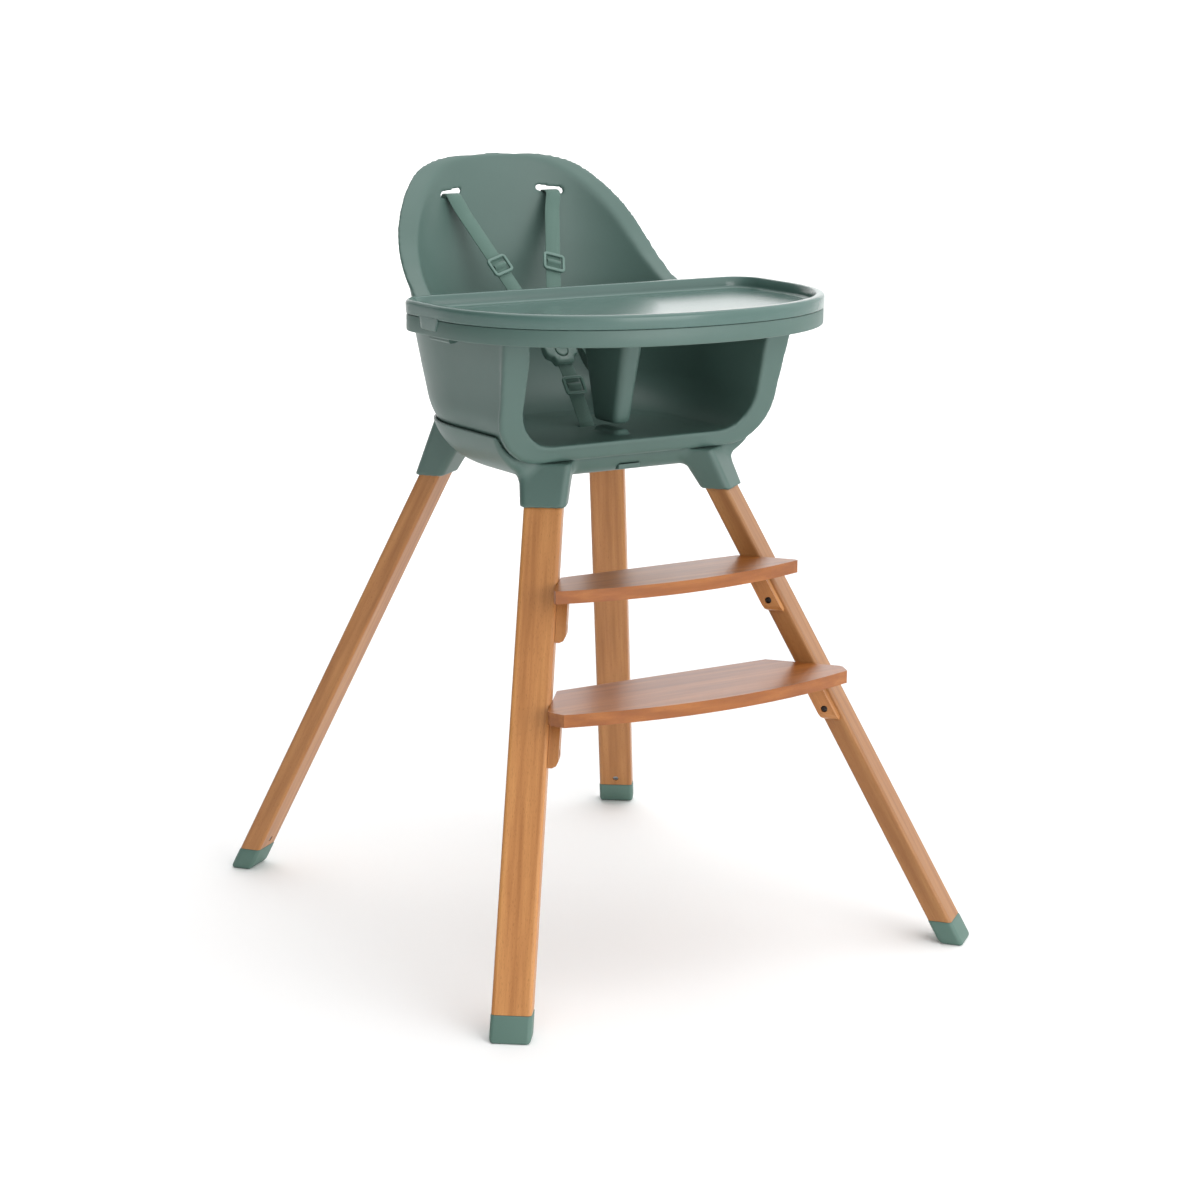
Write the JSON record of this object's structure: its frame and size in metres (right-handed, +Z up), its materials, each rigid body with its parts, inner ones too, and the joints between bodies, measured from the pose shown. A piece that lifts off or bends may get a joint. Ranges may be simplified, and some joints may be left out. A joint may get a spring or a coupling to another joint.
{
  "type": "baby high chair",
  "caption": "Baby high chair with splayed wooden legs, two footrest boards, a moulded bucket seat, a clip-on tray with crotch post and a webbing harness.",
  "frame": {"origin": "centre of the chair's bounding box on the floor", "axes": "+Z up, the child faces -Y, +X is the child's left-hand side"},
  "size_m": [0.6736, 0.7582, 0.9174],
  "materials": {
    "shell_plastic": "satin moulded polypropylene, sage green",
    "tray_plastic": "glossier moulded tray insert, sage green",
    "cap_plastic": "moulded foot cap, sage green",
    "buckle_plastic": "moulded acetal buckle parts, sage green",
    "beech": "clear varnished beech",
    "webbing": "woven polyester webbing, sage green",
    "steel": "zinc plated"
  },
  "bodies": {
    "frame": {"seat_chassis": "shell_plastic", "seat_release_spring": "steel", "leg_front_left": "beech", "foot_cap_front_left": "cap_plastic", "foot_screw_front_left": "steel", "leg_screw_front_left": "steel", "leg_front_right": "beech", "foot_cap_front_right": "cap_plastic", "foot_screw_front_right": "steel", "leg_screw_front_right": "steel", "leg_rear_left": "beech", "foot_cap_rear_left": "cap_plastic", "foot_screw_rear_left": "steel", "leg_screw_rear_left": "steel", "leg_rear_right": "beech", "foot_cap_rear_right": "cap_plastic", "foot_screw_rear_right": "steel", "leg_screw_rear_right": "steel", "step_upper": "beech", "step_cleat_upper_left": "beech", "cleat_screw_upper_left": "steel", "step_cleat_upper_right": "beech", "cleat_screw_upper_right": "steel", "step_lower": "beech", "step_cleat_lower_left": "beech", "cleat_screw_lower_left": "steel", "step_cleat_lower_right": "beech", "cleat_screw_lower_right": "steel"},
    "seat": {"seat_shell": "shell_plastic", "shoulder_strap_left": "webbing", "shoulder_anchor_left": "buckle_plastic", "lap_strap_left": "webbing", "lap_anchor_left": "buckle_plastic", "buckle_tongue_left": "buckle_plastic", "shoulder_strap_right": "webbing", "shoulder_anchor_right": "buckle_plastic", "lap_strap_right": "webbing", "lap_anchor_right": "buckle_plastic", "buckle_tongue_right": "buckle_plastic", "buckle_body": "buckle_plastic", "crotch_strap": "webbing", "crotch_anchor": "buckle_plastic"},
    "release_lever": {"seat_release_lever": "shell_plastic"},
    "tray": {"tray_base": "shell_plastic", "crotch_post": "shell_plastic", "post_screw_front": "steel", "post_screw_rear": "steel", "latch_spring_left": "steel", "latch_spring_right": "steel"},
    "tray_insert": {"tray_insert": "tray_plastic"},
    "latch_left": {"tray_latch_left": "shell_plastic"},
    "latch_right": {"tray_latch_right": "shell_plastic"},
    "buckle_button": {"buckle_button": "buckle_plastic"},
    "slider_left": {"shoulder_slider_left": "buckle_plastic"},
    "slider_right": {"shoulder_slider_right": "buckle_plastic"},
    "slider_crotch": {"crotch_slider": "buckle_plastic"}
  },
  "joints": [
    {"name": "seat_lift", "type": "slide", "parent": "frame", "child": "seat", "axis": [0, 0, 1], "range_m": [0, 0.12]},
    {"name": "release_press", "type": "slide", "parent": "frame", "child": "release_lever", "axis": [0, 1, 0], "range_m": [0, 0.004], "stiffness_N_per_m": 500, "springref_m": -0.003, "deforming": ["seat_release_spring"]},
    {"name": "tray_slide", "type": "slide", "parent": "seat", "child": "tray", "axis": [0, -1, 0], "range_m": [0, 0.12]},
    {"name": "insert_lift", "type": "slide", "parent": "tray", "child": "tray_insert", "axis": [0, 0, 1], "range_m": [0, 0.08]},
    {"name": "latch_left_pull", "type": "slide", "parent": "tray", "child": "latch_left", "axis": [-1, 0, 0], "range_m": [0, 0.004], "stiffness_N_per_m": 500, "springref_m": -0.003, "deforming": ["latch_spring_left"]},
    {"name": "latch_right_pull", "type": "slide", "parent": "tray", "child": "latch_right", "axis": [1, 0, 0], "range_m": [0, 0.004], "stiffness_N_per_m": 500, "springref_m": -0.003, "deforming": ["latch_spring_right"]},
    {"name": "buckle_press", "type": "slide", "parent": "seat", "child": "buckle_button", "axis": [0, 0.7431, -0.6691], "range_m": [0, 0.0015], "stiffness_N_per_m": 400, "springref_m": -0.002},
    {"name": "slider_left_adjust", "type": "slide", "parent": "seat", "child": "slider_left", "axis": [0.3119, -0.5403, -0.7815], "range_m": [-0.05, 0.018]},
    {"name": "slider_right_adjust", "type": "slide", "parent": "seat", "child": "slider_right", "axis": [-0.3119, -0.5403, -0.7815], "range_m": [-0.05, 0.018]},
    {"name": "slider_crotch_adjust", "type": "slide", "parent": "seat", "child": "slider_crotch", "axis": [0, 0.5812, 0.8137], "range_m": [-0.006, 0.006]}
  ]
}
